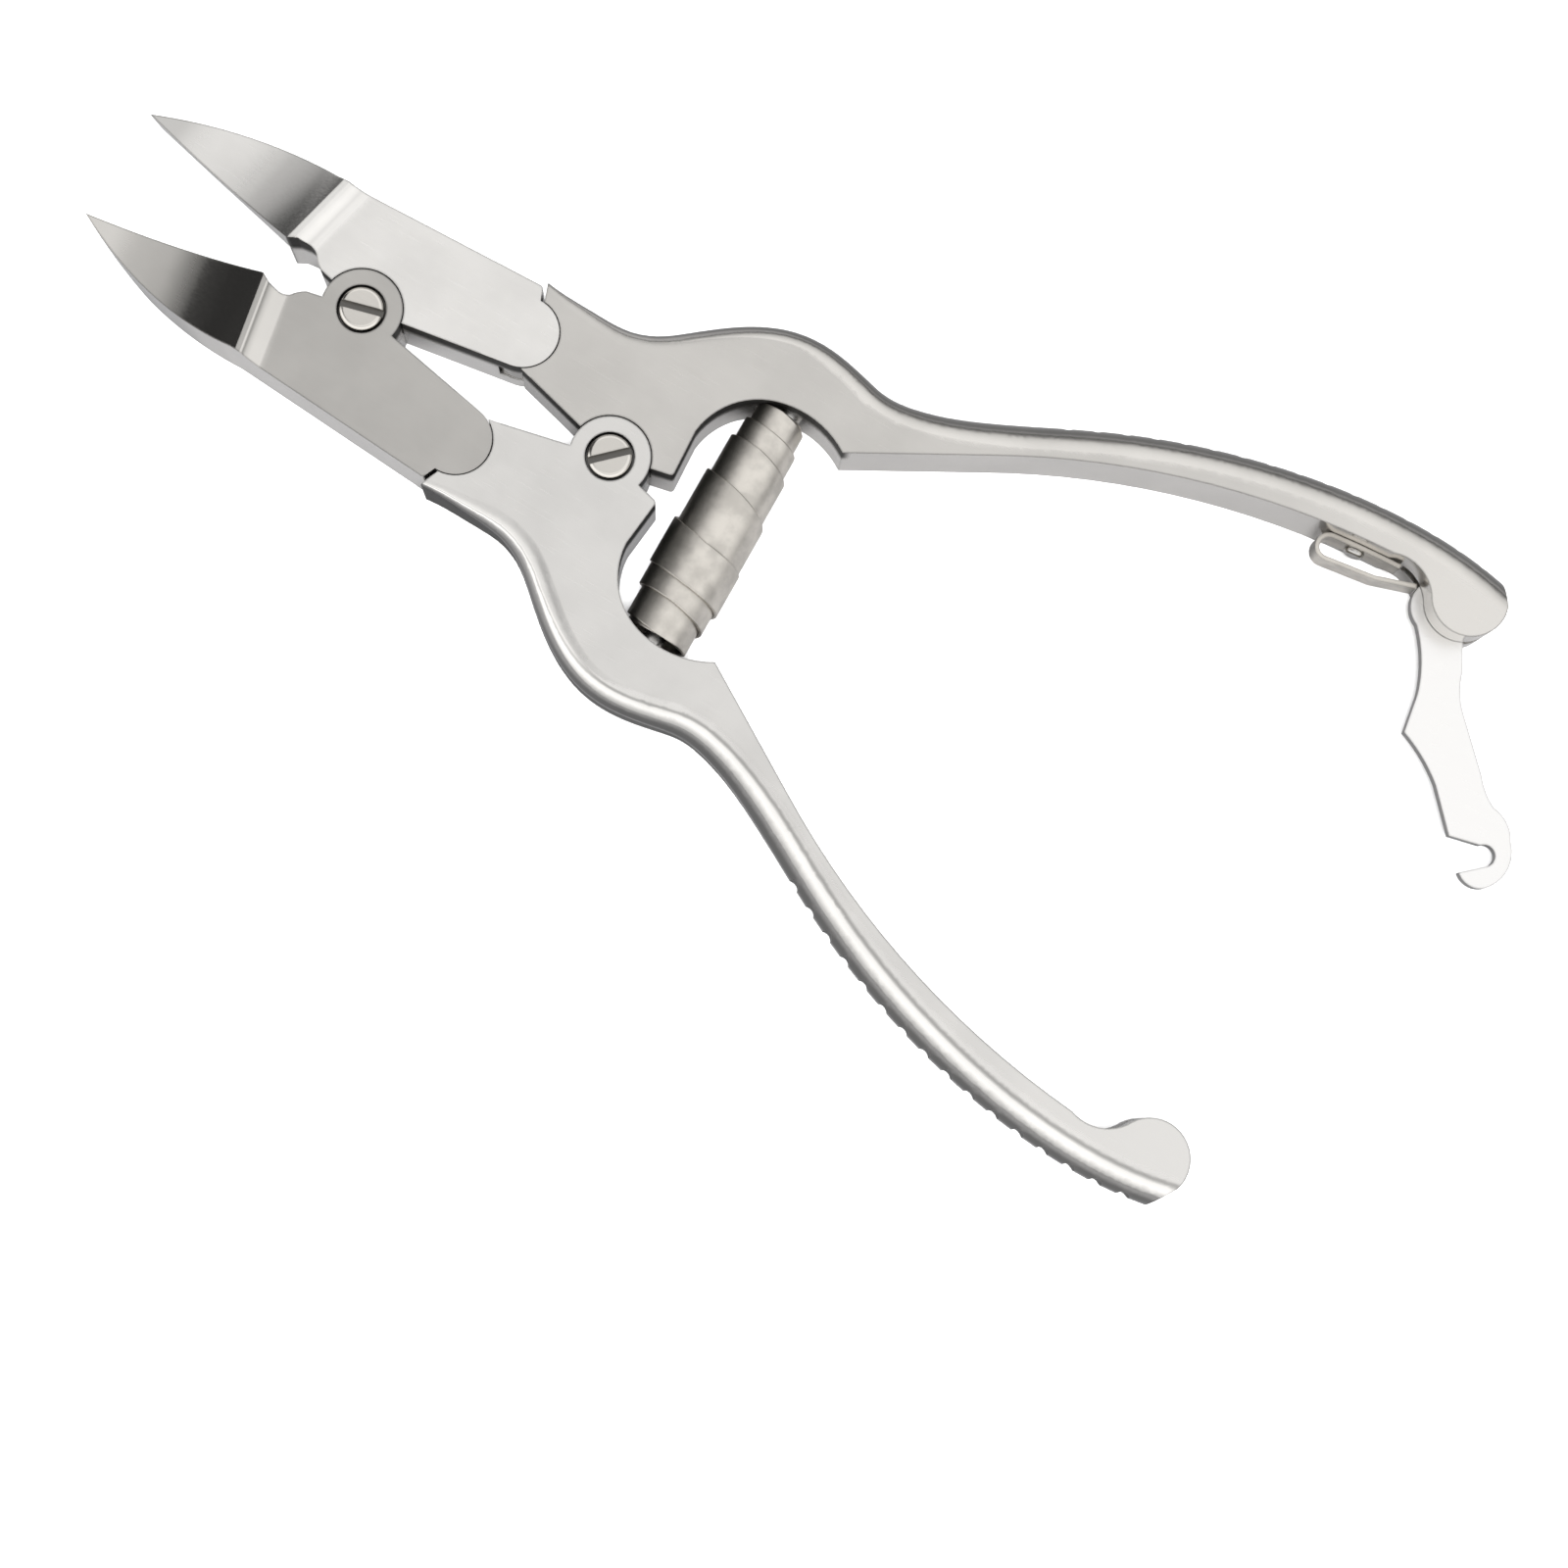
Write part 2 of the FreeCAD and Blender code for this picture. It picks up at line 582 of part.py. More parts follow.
def make_rivet():
    """The rivet of the leaf spring: shank in the grip's wall, low round head on the strip."""
    body = new_body("leaf_spring_rivet")
    stem = "Dimensions.rivet_grip + Dimensions.leaf_thickness + 2 * Dimensions.running_gap"
    stem_length = dim("rivet_grip") + dim("leaf_thickness") + 2 * dim("running_gap")
    cylinder(body, "Additive", "shank", (0, 0), "Dimensions.rivet_radius", 0, stem)
    cylinder(body, "Additive", "head", (0, 0), "Dimensions.rivet_head_radius", stem,
             "Dimensions.rivet_head_height")
    round_rim(body, "dome", stem_length + dim("rivet_head_height"), dim("rivet_head_radius"), 0.4)
    deep = off_wall(RIVET_X, -dim("rivet_grip"))
    inward = turned(grip_wall(RIVET_X)[1], HANDLE_OPENING)
    place_along(body, turned(deep, HANDLE_OPENING), MID_HEIGHT, inward)


make_screw("jaw_pivot_screw", JAW_PIVOT_X, 16)
make_screw("handle_pivot_screw", 0, 45)
LINK_OPEN = turned(HANDLE_LINK, HANDLE_OPENING)
make_upright_pin("upper_link_pin", LINK_OPEN, "link_pin_radius")
make_upright_pin("lower_link_pin", (LINK_OPEN[0], -LINK_OPEN[1]), "link_pin_radius")
LOCK_PIVOT_OPEN = turned(LOCK_PIVOT, HANDLE_OPENING)
make_upright_pin("lock_pivot_pin", LOCK_PIVOT_OPEN, "lever_pin_radius")
make_upright_pin("catch_pin", turned((CATCH[0], -CATCH[1]), -HANDLE_OPENING), "catch_pin_radius")
make_seat_pin("upper_spring_pin", 1)
make_seat_pin("lower_spring_pin", -1)
make_rivet()


# ---- Springs and lock lever ----

def make_barrel_spring():
    """The envelope of the barrel spring: two cones of overlapping strip, hollow inside."""
    body = new_body("barrel_spring")
    half = dim("spring_length") / 2
    end = dim("spring_end_radius")
    middle = dim("spring_mid_radius")
    wall = dim("spring_wall")
    outline = Outline((end, -half))
    outline.arc((middle, 0), (end, half)).line((end - wall, half))
    outline.arc((middle - wall, 0), (end - wall, -half))
    sketch = sketch_on(body, "XZ_Plane", "section", outline.close())
    turning = body.newObject("PartDesign::Revolution", "turning")
    turning.Profile = sketch
    turning.ReferenceAxis = (sketch, ["V_Axis"])
    turning.Angle = 360
    place_along(body, (SPRING_X, 0), dim("spring_height"), (0, 1))


def lever_outline():
    """Plan of the lock lever about its pin, pointing along -Y, the hook's mouth towards -X."""
    head = dim("lever_head_radius")
    mouth = dim("catch_pin_radius") + dim("hook_gap")
    seat = (0, -dim("hook_reach"))
    outline = Outline(polar(head, 208))
    outline.arc((-3.1, -5.9), (-4.1, -9.1)).line((-6.3, -13.0)).arc((-4.75, -16.2), (-3.9, -19.2))
    outline.line((-3.45, -24.9)).line(polar(mouth, 100, seat))
    outline.arc(polar(mouth, 0, seat), polar(mouth, -95, seat)).line((-3.1, seat[1] - 1.4))
    outline.arc((-2.3, -30.5), (-0.4, -31.1)).arc((2.1, -29.7), (3.15, -26.6))
    outline.arc((3.1, -24.4), (2.0, -22.6)).arc((1.45, -20.9), (1.3, -18.9)).line((0.6, -12.6))
    outline.arc((0.55, -10.0), (1.25, -7.4)).line(polar(head, -45))
    outline.arc(polar(head, 80), outline.first)
    return outline.stretches


def make_lock_lever():
    """The lock lever: a hooked plate between the cheeks of the upper handle's end."""
    body = new_body("lock_lever")
    pad_both_ways(body, sketch_on(body, "XY_Plane", "plan", lever_outline()),
                  "Dimensions.lever_thickness")
    cylinder(body, "Subtractive", "bore", (0, 0), "Dimensions.lever_pin_radius + Dimensions.running_gap",
             -MID_HEIGHT, "Dimensions.thickness")
    place(body, LOCK_PIVOT_OPEN[0], LOCK_PIVOT_OPEN[1], MID_HEIGHT,
          HANDLE_OPENING + dim("lever_release"))


def leaf_outline():
    """Plan of the leaf spring: a strand along the grip's wall, a loop and a free strand back."""
    gap = dim("running_gap")
    thick = dim("leaf_thickness")
    top = [off_wall(x, gap) for x in (LEAF_END_X, RIVET_X, LEAF_LOOP_X)]
    under = [off_wall(x, gap + thick) for x in (LEAF_END_X, RIVET_X, LEAF_LOOP_X)]
    loop = off_wall(LEAF_LOOP_X, gap + LEAF_LOOP_RADIUS)
    outline = Outline(top[0]).arc(top[1], top[2])
    outline.arc(polar(LEAF_LOOP_RADIUS, 180, loop), polar(LEAF_LOOP_RADIUS, 270, loop))
    outline.line(LEAF_BEND).line(LEAF_TIP).line((LEAF_TIP[0] - 0.1, LEAF_TIP[1] + thick))
    outline.line((LEAF_BEND[0] - 0.1, LEAF_BEND[1] + thick))
    outline.line(polar(LEAF_LOOP_RADIUS - thick, 270, loop))
    outline.arc(polar(LEAF_LOOP_RADIUS - thick, 180, loop), under[2]).arc(under[1], under[0])
    return outline.close()


def make_leaf_spring():
    """The hairpin leaf spring that presses on the lever's round head."""
    body = new_body("lock_leaf_spring")
    pad_both_ways(body, sketch_on(body, "XY_Plane", "plan", leaf_outline()), "Dimensions.leaf_width")
    wall, inward = grip_wall(RIVET_X)
    level_bore(body, "rivet_hole", (*wall, 0), inward,
               "Dimensions.rivet_radius + Dimensions.running_gap",
               "2 * Dimensions.leaf_thickness + 2 * Dimensions.running_gap")
    place(body, 0, 0, MID_HEIGHT, HANDLE_OPENING)


make_barrel_spring()
make_lock_lever()
make_leaf_spring()


# ---- Check and export ----

SUB_PARTS = ["upper_jaw", "lower_jaw", "upper_handle", "lower_handle", "jaw_pivot_screw",
             "handle_pivot_screw", "upper_link_pin", "lower_link_pin", "barrel_spring",
             "upper_spring_pin", "lower_spring_pin", "lock_lever", "lock_pivot_pin", "catch_pin",
             "lock_leaf_spring", "leaf_spring_rivet"]

doc.recompute()
for item in doc.Objects:
    if "Invalid" in item.State or "Error" in item.State:
        raise SystemExit("failed: %s %s %s" % (item.Label, item.Name, item.getStatusString()))
for label in SUB_PARTS:
    shape = doc.getObject(label).Shape
    if shape.isNull() or not shape.isValid() or len(shape.Solids) != 1:
        raise SystemExit("bad shape: %s" % label)
    shape.exportStep("parts/%s.step" % label)
    print("%-20s %8.1f mm3" % (label, shape.Volume))
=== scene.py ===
import bmesh
import bpy
import math
from mathutils import Matrix, Vector


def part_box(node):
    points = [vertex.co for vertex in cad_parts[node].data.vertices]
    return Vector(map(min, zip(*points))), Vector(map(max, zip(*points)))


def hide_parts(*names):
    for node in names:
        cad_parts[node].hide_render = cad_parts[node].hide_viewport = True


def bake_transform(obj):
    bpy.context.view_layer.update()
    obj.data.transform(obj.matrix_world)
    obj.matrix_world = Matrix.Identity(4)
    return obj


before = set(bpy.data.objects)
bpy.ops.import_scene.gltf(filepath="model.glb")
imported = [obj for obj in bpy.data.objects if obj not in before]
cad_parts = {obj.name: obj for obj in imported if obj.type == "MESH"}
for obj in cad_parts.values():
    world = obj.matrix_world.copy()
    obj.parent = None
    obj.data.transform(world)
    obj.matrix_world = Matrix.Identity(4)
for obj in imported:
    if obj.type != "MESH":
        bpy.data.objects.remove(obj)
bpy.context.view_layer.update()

MM = 0.001


def middle_of(node):
    """The middle of a CAD node's box at rest."""
    low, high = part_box(node)
    return (Vector(low) + Vector(high)) / 2


# ---- Nodes ----

def ramp_of(tree, value, stops, ease="LINEAR"):
    """A grey ramp through (position, brightness) stops."""
    ramp = tree.nodes.new("ShaderNodeValToRGB")
    tree.links.new(value, ramp.inputs["Fac"])
    ramp.color_ramp.interpolation = ease
    elements = ramp.color_ramp.elements
    while len(elements) < len(stops):
        elements.new(0.5)
    for element, (position, brightness) in zip(elements, stops):
        element.position = position
        element.color = (brightness, brightness, brightness, 1)
    return ramp.outputs["Color"]


def range_of(tree, value, low, high, to_low=0.0, to_high=1.0):
    """Map a value smoothly from one range to another, clamped."""
    made = tree.nodes.new("ShaderNodeMapRange")
    made.interpolation_type = "SMOOTHSTEP"
    tree.links.new(value, made.inputs["Value"])
    for key, number in (("From Min", low), ("From Max", high),
                        ("To Min", to_low), ("To Max", to_high)):
        made.inputs[key].default_value = number
    return made.outputs["Result"]


def feed(tree, socket, value):
    """Link a socket to another, or set it to a constant."""
    if isinstance(value, bpy.types.NodeSocket):
        tree.links.new(value, socket)
    else:
        socket.default_value = value


def mix_of(tree, kind, factor, first, second):
    """Mix two colours; each value is a socket or a constant."""
    mix = tree.nodes.new("ShaderNodeMix")
    mix.data_type = "RGBA"
    mix.blend_type = kind
    for key, value in (("Factor", factor), ("A", first), ("B", second)):
        feed(tree, mix.inputs[key], value)
    return mix.outputs["Result"]


ZONE_SOFTNESS = 0.04                    # of a round zone's rim, out of its radius
EDGE_MATCH = (0.76, 0.95)               # how well normals match, from an edge to a plain face


class Shader:
    """A material under construction, with short helpers for its nodes."""

    def __init__(self, name):
        self.material = bpy.data.materials.new(name)
        self.material.use_nodes = True
        self.tree = self.material.node_tree
        self.surface = self.tree.nodes["Principled BSDF"]
        self.place = self.node("ShaderNodeTexCoord").outputs["Object"]

    def node(self, kind, **settings):
        made = self.tree.nodes.new(kind)
        for key, value in settings.items():
            setattr(made, key, value)
        return made

    def feed(self, socket, value):
        feed(self.tree, socket, value)

    def set(self, name, value):
        """Feed one of the surface's inputs."""
        self.feed(self.surface.inputs[name], value)

    def noise(self, size, detail=2.0, roughness=0.5, stretch=(1, 1, 1)):
        """Noise whose blotches are about `size` metres across, in the piece's own frame."""
        mapping = self.node("ShaderNodeMapping")
        self.feed(mapping.inputs["Vector"], self.place)
        mapping.inputs["Scale"].default_value = [1 / (size * factor) for factor in stretch]
        made = self.node("ShaderNodeTexNoise")
        self.feed(made.inputs["Vector"], mapping.outputs["Vector"])
        made.inputs["Scale"].default_value = 1.0
        made.inputs["Detail"].default_value = detail
        made.inputs["Roughness"].default_value = roughness
        return made.outputs["Fac"]

    def spread(self, value, low, high, to_low=0.0, to_high=1.0):
        """Map a value smoothly from one range to another, clamped."""
        return range_of(self.tree, value, low, high, to_low, to_high)

    def math(self, operation, first, second=0.0):
        made = self.node("ShaderNodeMath", operation=operation)
        self.feed(made.inputs[0], first)
        self.feed(made.inputs[1], second)
        return made.outputs[0]

    def blend(self, factor, first, second):
        """Mix two colours by a factor."""
        return mix_of(self.tree, "MIX", factor, first, second)

    def normal(self):
        """The true surface normal."""
        return self.node("ShaderNodeNewGeometry").outputs["Normal"]

    def part_of(self, vector, axis):
        """The X, Y or Z of a vector."""
        parts = self.node("ShaderNodeSeparateXYZ")
        self.feed(parts.inputs["Vector"], vector)
        return parts.outputs[axis]

    def facing(self, axis):
        """The part of the surface normal along a world axis."""
        return self.part_of(self.normal(), axis)

    def along(self, axis, low, high, to_low, to_high):
        """Map the place along an axis, in metres at rest, from one range to another."""
        return self.spread(self.part_of(self.place, axis), low, high, to_low, to_high)

    def zone(self, rounds):
        """1 inside any of the upright round zones (x, y, radius), in metres at rest."""
        inside = 0.0
        flat_place = self.node("ShaderNodeVectorMath", operation="MULTIPLY")
        self.feed(flat_place.inputs[0], self.place)
        flat_place.inputs[1].default_value = (1, 1, 0)
        for x, y, radius in rounds:
            gap = self.node("ShaderNodeVectorMath", operation="DISTANCE")
            self.feed(gap.inputs[0], flat_place.outputs["Vector"])
            gap.inputs[1].default_value = (x, y, 0)
            near = self.spread(gap.outputs["Value"], radius * (1 - ZONE_SOFTNESS),
                               radius * (1 + ZONE_SOFTNESS), 1.0, 0.0)
            inside = self.math("MAXIMUM", near, inside)
        return inside

    def broken_edges(self, radius):
        """The surface normal with its sharp edges broken by a small radius."""
        made = self.node("ShaderNodeBevel", samples=4)
        made.inputs["Radius"].default_value = radius
        return made.outputs["Normal"]

    def near_edge(self, radius):
        """1 along sharp edges, where the rounded normal leaves the true one."""
        match = self.node("ShaderNodeVectorMath", operation="DOT_PRODUCT")
        self.feed(match.inputs[0], self.normal())
        self.feed(match.inputs[1], self.broken_edges(radius))
        return self.spread(match.outputs["Value"], *EDGE_MATCH, 1.0, 0.0)

    def relief(self, height, depth, normal):
        """A normal with shallow relief on it; the depth is in metres."""
        made = self.node("ShaderNodeBump")
        made.inputs["Distance"].default_value = depth
        made.inputs["Strength"].default_value = 1.0
        self.feed(made.inputs["Height"], height)
        self.feed(made.inputs["Normal"], normal)
        return made.outputs["Normal"]


# ---- Steel ----

# Places along X where a look changes, from the jaws to the handles' ends.
BLADE_RIDGE = (-43 * MM, -41.5 * MM)    # the ground blades lie past it, towards -X
HANDLE_NECKS = (-8 * MM, 16 * MM)       # from the handles' fronts to beside the spring
GRIP_ENDS = (55 * MM, 90 * MM)

# Heights where a look changes.
WALL_TOP = (4.4 * MM, 6.4 * MM)         # the painted shade on walls in the shaded zones grows over these, darkest at the top
UNDER_FACE = (7.85 * MM, 7.95 * MM)     # just below the handles' and jaws' top faces

# How level a surface is where a look changes, from upright (0) to level (1).
SATIN_LEVEL = (0.985, 0.9995)           # from polished to satin
SHADED_WALL_LEVEL = (0.3, 0.6)                  # from a wall with painted shade to a rounding without it
OUTER_LEVEL = (0.03, 0.12)              # from an outer wall with a painted dark band to a rounding without it
OUTWARD = (0.1, 0.4)                    # part of the normal along Y, from other faces to outer ones

SHADE_TONE = 0.035                      # tone of the painted dark edge lines and of walls in full painted shade
WALL_SHADE = 0.93                       # how strong the painted shade on shaded and outer walls is, out of 1
# Painted shade under the top face in the sunk zones, out of 1.
SUNK_SHADE = 0.85
SHADED_WALL_ROUGHER = 0.5                       # roughness that a wall in the shaded zones adds
OUTER_ROUGHER = 0.4
PAINTED_LINE_WIDTH = 0.4 * MM                   # painted dark lines along sharp edges, standing in for their dark reflection
FAINT_LINE = 0.15                       # what is left of the painted edge lines in the faint zones
CLOUD_RANGE = (0.3, 0.7)                # of the noise, from dark to pale
GRAIN_SIZE = 0.16 * MM
GRAIN_HEIGHT = 0.7                      # out of the relief's depth
SCRATCH_WIDTH = 0.12 * MM
SCRATCH_STRETCH = (30, 1, 1)
SCRATCH_HEIGHT = 0.6
SCRATCH_RANGE = (0.25, 0.75)            # of the noise, from smooth to scratched
SCRATCH_ROUGHNESS = (-0.03, 0.05)       # what each of those adds to the roughness
POLISHED_RELIEF = 0.1                   # what polish leaves of the relief
RELIEF_DEPTH = 0.004 * MM


def grey(value, warmth=0.02):
    """A slightly warm grey, in linear light."""
    return (value * (1 + warmth), value, value * (1 - warmth * 1.6), 1.0)


def clouded(shader, cloud, tone, depth, warmth):
    """A grey that clouds make a little darker and paler."""
    return shader.blend(cloud, grey(tone * (1 - depth), warmth), grey(tone * (1 + depth), warmth))


def steel(name, flat_tone, round_tone, satin, polish, edge=0.22 * MM, warmth=0.02, line=0.7,
          mottle=(9 * MM, 0.04), bands=None, narrow=0.0, end=1.0, tip=None,
          shaded_walls=(), sunk=(), faint=(), outer=0, shade_towards_minus_x=None):
    """Stainless steel: satin on level faces, polished on walls and rounds.

    Tones: level faces have `flat_tone`, which grows to `end` times as much at the grips' ends.
    Walls and rounds have `round_tone`, times the painted reflection that `bands` gives from
    upright (0) to level (1), painted highlights and painted dark bands; past the blade ridge they
    have `tip` instead. `mottle` is the size and depth of their clouds, and `narrow` is how much
    of a handle's rounding near the jaws looks like its level face. `satin` and `polish` are the
    roughness of level faces and of rounds.

    Painted shade: sharp edges, broken by `edge`, carry a painted dark line that stands in for
    their dark reflection, darker as `line` rises and hardly seen in the `faint` zones. Walls in
    the `shaded_walls` zones carry painted shade towards their top edge and are rougher, and all
    that lies under the top face in the `sunk` zones carries painted shade. Walls that face the
    side `outer` along Y (1 or -1) carry a painted dark band and are rougher.
    `shade_towards_minus_x` is two parts of the normal along X and a painted shade: what faces -X
    has none of it at the first, and all of it at the second.
    """
    shader = Shader(name)
    level = shader.math("ABSOLUTE", shader.facing("Z"))
    slope = shader.math("ADD", level, shader.along("X", *HANDLE_NECKS, narrow, 0.0))
    flat = shader.spread(slope, *SATIN_LEVEL)

    blotch, depth = mottle
    cloud = shader.spread(shader.noise(blotch, detail=3.0, roughness=0.55), *CLOUD_RANGE)
    level_colour = shader.blend(shader.along("X", *GRIP_ENDS, 0.0, 1.0),
                                clouded(shader, cloud, flat_tone, depth, warmth),
                                grey(flat_tone * end, warmth))
    round_colour = clouded(shader, cloud, round_tone, depth, warmth)
    if tip:
        blade = shader.along("X", *BLADE_RIDGE, 1.0, 0.0)
        round_colour = shader.blend(blade, round_colour, grey(tip, warmth))
    # Painted reflection across the roundings: painted highlights and painted dark bands.
    if bands:
        tones = ramp_of(shader.tree, slope, bands, "EASE")
        round_colour = mix_of(shader.tree, "MULTIPLY", 1.0, round_colour, tones)
    colour = shader.blend(flat, round_colour, level_colour)

    # Painted shade: a dark line along sharp edges, standing in for their dark reflection.
    dark = shader.math("MULTIPLY", shader.near_edge(PAINTED_LINE_WIDTH), line)
    finish = shader.spread(flat, 0.0, 1.0, polish, satin)
    if faint:
        fading = shader.spread(shader.zone(faint), 0.0, 1.0, 1.0, FAINT_LINE)
        dark = shader.math("MULTIPLY", dark, fading)
    # Painted shade on walls in the shaded zones, darker towards their top edge; these walls are
    # rougher too.
    if shaded_walls:
        upright = shader.spread(level, *SHADED_WALL_LEVEL, WALL_SHADE, 0.0)
        wall = shader.math("MULTIPLY", shader.zone(shaded_walls), upright)
        painted_wall_shade = shader.math("MULTIPLY", wall, shader.along("Z", *WALL_TOP, 0.0, 1.0))
        dark = shader.math("MAXIMUM", painted_wall_shade, dark)
        finish = shader.math("ADD", finish, shader.math("MULTIPLY", painted_wall_shade, SHADED_WALL_ROUGHER))
    # Painted shade on all that lies under the top face in the sunk zones.
    if sunk:
        deep = shader.along("Z", *UNDER_FACE, SUNK_SHADE, 0.0)
        dark = shader.math("MAXIMUM", shader.math("MULTIPLY", shader.zone(sunk), deep), dark)
    # Painted shade on what faces -X.
    if shade_towards_minus_x:
        start, full, shade = shade_towards_minus_x
        away = shader.spread(shader.facing("X"), full, start, shade, 0.0)
        dark = shader.math("MAXIMUM", away, dark)
    # Painted dark band on walls that face the given side along Y; these walls are rougher too.
    if outer:
        upright = shader.spread(level, *OUTER_LEVEL, WALL_SHADE, 0.0)
        outward = shader.spread(shader.math("MULTIPLY", shader.facing("Y"), outer), *OUTWARD)
        wall = shader.math("MULTIPLY", upright, outward)
        dark = shader.math("MAXIMUM", wall, dark)
        finish = shader.math("ADD", finish, shader.math("MULTIPLY", wall, OUTER_ROUGHER))

    grain = shader.noise(GRAIN_SIZE, detail=2.0, roughness=0.6)
    scratches = shader.noise(SCRATCH_WIDTH, detail=3.0, roughness=0.6, stretch=SCRATCH_STRETCH)
    texture = shader.math("ADD", shader.math("MULTIPLY", grain, GRAIN_HEIGHT),
                          shader.math("MULTIPLY", scratches, SCRATCH_HEIGHT))
    height = shader.math("MULTIPLY", texture, shader.spread(flat, 0.0, 1.0, POLISHED_RELIEF, 1.0))
    worn = shader.spread(scratches, *SCRATCH_RANGE, *SCRATCH_ROUGHNESS)
    # The painted shade gathered above darkens the colour towards SHADE_TONE.
    shader.set("Base Color", shader.blend(dark, colour, grey(SHADE_TONE, warmth)))
    shader.set("Roughness", shader.math("ADD", finish, worn))
    shader.set("Normal", shader.relief(height, RELIEF_DEPTH, shader.broken_edges(edge)))
    shader.set("Metallic", 1.0)
    return shader.material


# ---- Barrel spring ----

# Upper edge of the wound strip by turn up from its widest one, and lower edge by turn down, mm.
UPPER_EDGES = (-3.0, 3.8, 9.0, 11.5, 14.1, 14.1)
LOWER_EDGES = (-8.1, -10.3, -14.1, -14.1)
WIDEST_RADIUS = 4.8 * MM
STEP_PER_TURN = 0.45 * MM
STRIP_WIDTH = 5.1 * MM
UPPER_EXTRA = 2.4 * MM                  # the strip is this much wider above its widest turn
STRIP_THICKNESS = 0.42 * MM
STRIP_CORNER = 0.09 * MM
STRIP_LEAN = -0.03                      # sideways along X, per length
STRIP_SHIFT = Vector((-0.3 * MM, 0, 0))
STEPS_PER_TURN = 64
START_ANGLE = math.radians(90)
CREASE_ANGLE = math.radians(35)


def along_table(table, turn):
    """Value between the entries of a table, at a turn counted from its first."""
    first = min(int(turn), len(table) - 2)
    return table[first] + (table[first + 1] - table[first]) * (turn - first)


def strip_section(turn):
    """Outer radius of the strip at a turn, and its lower and upper edge along the axis."""
    radius = WIDEST_RADIUS - STEP_PER_TURN * abs(turn)
    if turn < 0:
        low = along_table(LOWER_EDGES, -turn) * MM
        return radius, low, low + STRIP_WIDTH
    high = along_table(UPPER_EDGES, turn) * MM
    return radius, high - STRIP_WIDTH - UPPER_EXTRA * min(turn, 1), high


def spring_strip(name, middle):
    """A strip wound into a barrel: each turn slips inside its neighbour towards the ends."""
    first_turn = 1 - len(LOWER_EDGES)
    last_turn = len(UPPER_EDGES) - 1
    inner, corner = -STRIP_THICKNESS, STRIP_CORNER
    mesh = bmesh.new()
    rings = []
    for step in range((last_turn - first_turn) * STEPS_PER_TURN + 1):
        turn = first_turn + step / STEPS_PER_TURN
        angle = 2 * math.pi * turn + START_ANGLE
        radius, low, high = strip_section(turn)
        outline = ((inner, low + corner), (inner, high - corner), (inner + corner, high),
                   (-corner, high), (0, high - corner), (0, low + corner), (-corner, low),
                   (inner + corner, low))
        rings.append([mesh.verts.new(((radius + out) * math.cos(angle) + STRIP_LEAN * along, along,
                                      (radius + out) * math.sin(angle))) for out, along in outline])
    for first, second in zip(rings, rings[1:]):
        for index in range(len(first)):
            after = (index + 1) % len(first)
            mesh.faces.new((first[index], first[after], second[after], second[index]))
    mesh.faces.new(rings[0][::-1])
    mesh.faces.new(rings[-1])
    bmesh.ops.recalc_face_normals(mesh, faces=mesh.faces)
    bmesh.ops.translate(mesh, verts=mesh.verts, vec=middle)
    data = bpy.data.meshes.new(name)
    mesh.to_mesh(data)
    mesh.free()
    data.shade_smooth()
    data.set_sharp_from_angle(angle=CREASE_ANGLE)
    piece = bpy.data.objects.new(name, data)
    bpy.context.scene.collection.objects.link(piece)
    return piece


# ---- Stage ----

FLOOR_LEVEL = -0.05 * MM
FLOOR_REACH = 4.0
FLOOR_DARK = (0.9, 0.9, 0.9, 1)
FLOOR_PALE = (0.93, 0.93, 0.93, 1)
FLOOR_IN_STEEL = (0.26, 0.26, 0.265, 1)
BACKDROP = (0.87, 0.87, 0.87, 1)        # what the camera sees past the floor

# Brightness of the studio by height: the sine of the angle above the horizon.
BRIGHT_WALL = ((0.0, 0.7), (0.08, 1.25), (0.55, 1.25), (0.76, 1.1), (0.86, 0.7), (0.93, 1.0),
               (1.0, 1.0))
DIM_WALL = ((0.0, 0.12), (0.12, 0.30), (0.35, 0.80), (0.60, 1.0), (1.0, 1.0))
WALL_TURN = (-0.25, 0.25)               # part of a direction along Y, from bright wall to dim

# The dark card: its heading, and what it leaves of the light by how far a direction goes that way.
CARD_HEADING = (-1.0, -1.03, 0.0)
CARD_SHADE = ((0.15, 1.0), (0.30, 0.82), (0.36, 0.66), (0.385, 0.52), (0.41, 0.24), (0.44, 0.12),
              (0.5, 0.1), (0.6, 0.07))
CARD_RIM = (-0.3, -0.05)                # part of a direction along Y, from no card to card

CAMERA_PLACE = (0.0439, -0.0607, 0.3098)
CAMERA_AIM = (0.03435, -0.0209, 0.008)
CAMERA_UP = (-0.512, 0.859, 0)
CAMERA_LENS = 65.65                     # mm
CAMERA_SENSOR = 36                      # mm

LIGHT_PLACE = (0.075, -0.10, 0.62)
LIGHT_AIM = (0.034, -0.02, 0)
LIGHT_SIZE = 0.25
LIGHT_POWER = 7.0


def add_floor(level, reach):
    """A pale square floor, darker where the steel mirrors it."""
    data = bpy.data.meshes.new("floor")
    corners = [(-reach, -reach, level), (reach, -reach, level), (reach, reach, level),
               (-reach, reach, level)]
    data.from_pydata(corners, [], [(0, 1, 2, 3)])
    floor = bpy.data.objects.new("floor", data)
    bpy.context.scene.collection.objects.link(floor)
    shader = Shader("floor_white")
    speckled = shader.blend(shader.noise(30 * MM), FLOOR_DARK, FLOOR_PALE)
    in_steel = shader.node("ShaderNodeLightPath").outputs["Is Glossy Ray"]
    shader.set("Base Color", shader.blend(in_steel, speckled, FLOOR_IN_STEEL))
    shader.set("Roughness", 0.8)
    data.materials.append(shader.material)


